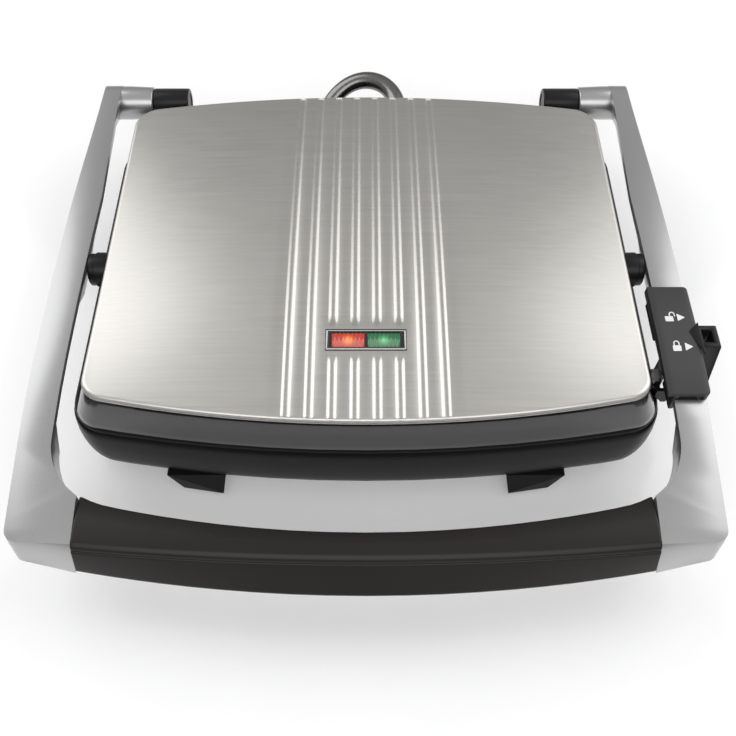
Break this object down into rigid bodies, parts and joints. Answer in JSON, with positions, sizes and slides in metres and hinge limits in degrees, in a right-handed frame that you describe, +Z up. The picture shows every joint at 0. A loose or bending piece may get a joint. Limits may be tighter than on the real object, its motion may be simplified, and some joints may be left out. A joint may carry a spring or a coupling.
{
  "type": "panini press",
  "caption": "Countertop contact grill with ribbed plates, a domed steel lid floating on side pivots in a U-shaped lifting handle frame, feet and a sliding lock.",
  "frame": {"origin": "middle of the footprint of the closed press, lock button included, at the height of the worktop", "axes": "+Z up, -Y towards the person using it, +X to their right; the rear hinge axis runs along X"},
  "size_m": [0.3786, 0.3708, 0.0894],
  "materials": {
    "black_housing": "satin moulded",
    "black_gloss": "gloss moulded",
    "black_trim": "fine textured",
    "black_grip": "soft satin",
    "brushed_cover": "brushed across",
    "silver_frame": "satin silver over die casting",
    "grill_coating": "non-stick coating on a cast plate",
    "heater_sheath": "heat-tinted sheath",
    "reflector_sheet": "mill",
    "steel_pin": "zinc plated",
    "conduit_metal": "dark bright metal",
    "foot_rubber": "matt",
    "ceramic_body": "unglazed",
    "lamp_glass": "clear",
    "red_lens": "translucent",
    "green_lens": "translucent"
  },
  "bodies": {
    "base": {"base_housing": "black_housing", "base_bottom_cover": "black_housing", "front_left_cover_screw": "steel_pin", "front_right_cover_screw": "steel_pin", "rear_left_cover_screw": "steel_pin", "rear_right_cover_screw": "steel_pin", "front_left_foot": "black_housing", "front_left_foot_pad": "foot_rubber", "front_right_foot": "black_housing", "front_right_foot_pad": "foot_rubber", "rear_left_foot": "black_housing", "rear_left_foot_pad": "foot_rubber", "rear_right_foot": "black_housing", "rear_right_foot_pad": "foot_rubber", "lower_grill_plate": "grill_coating", "lower_heating_element": "heater_sheath", "lower_heat_reflector": "reflector_sheet", "lower_thermostat": "ceramic_body", "lower_thermal_fuse": "ceramic_body", "terminal_block": "ceramic_body", "cord_inlet": "black_trim", "right_hinge_post": "black_trim", "left_hinge_post": "black_trim", "right_hinge_pin": "steel_pin", "left_hinge_pin": "steel_pin", "latch_catch": "black_trim", "base_conduit_gland": "black_trim", "wiring_conduit": "conduit_metal"},
    "handle_frame": {"left_arm": "silver_frame", "right_arm": "silver_frame", "right_pivot_pin": "steel_pin", "left_pivot_pin": "steel_pin", "grip_upper_shell": "black_grip", "grip_lower_shell": "black_grip", "grip_core_bar": "steel_pin", "lock_sleeve": "black_grip"},
    "lid": {"lid_housing": "black_gloss", "lid_cover": "brushed_cover", "upper_grill_plate": "grill_coating", "upper_heating_element": "heater_sheath", "upper_heat_reflector": "reflector_sheet", "upper_thermostat": "ceramic_body", "indicator_bezel": "black_gloss", "power_lens": "red_lens", "ready_lens": "green_lens", "power_lamp": "lamp_glass", "ready_lamp": "lamp_glass", "right_pivot_boss": "black_trim", "left_pivot_boss": "black_trim", "lid_conduit_gland": "black_trim"},
    "lock_slider": {"lock_button": "black_trim", "lock_hook": "steel_pin"}
  },
  "joints": [
    {"name": "frame_lift", "type": "hinge", "parent": "base", "child": "handle_frame", "pos_m": [-0.00675, 0.16624, 0.0552], "axis": [-1, 0, 0], "range_deg": [0, 100], "deforming": ["wiring_conduit"]},
    {"name": "lid_tilt", "type": "hinge", "parent": "handle_frame", "child": "lid", "pos_m": [-0.00675, 0.00664, 0.064], "axis": [-1, 0, 0], "range_deg": [-12, 0]},
    {"name": "lock_slide", "type": "slide", "parent": "handle_frame", "child": "lock_slider", "axis": [0, 1, 0], "range_m": [0, 0.013]}
  ],
  "couplings": [
    {"joint": "lid_tilt", "follows": "frame_lift", "ratio": -0.12}
  ]
}
